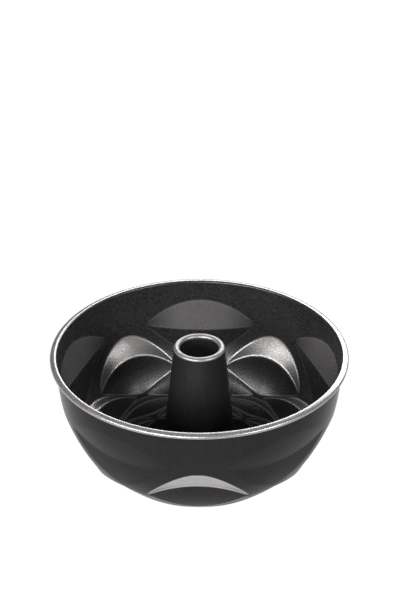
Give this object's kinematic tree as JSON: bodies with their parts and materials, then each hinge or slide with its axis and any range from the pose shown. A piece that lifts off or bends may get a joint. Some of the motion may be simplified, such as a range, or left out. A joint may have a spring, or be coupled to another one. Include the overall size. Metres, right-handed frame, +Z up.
{
  "type": "bundt pan",
  "caption": "Ring cake pan pressed with tiers of rose petals, with a rolled rim and a tapered open centre tube.",
  "frame": {"origin": "centre of the flat ring that the pan rests on", "axes": "+Z up along the tube towards the open mouth, +Y through the middle of a petal of the top tier"},
  "size_m": [0.25, 0.25, 0.1126],
  "materials": {
    "mould_coating": "dark non-stick coating with fine metal flake, satin",
    "wire": "drawn steel wire",
    "tube_coating": "dark non-stick coating with fine metal flake, satin"
  },
  "bodies": {
    "root": {"mould_body": "mould_coating", "rim_wire": "wire", "centre_tube": "tube_coating"}
  },
  "joints": []
}
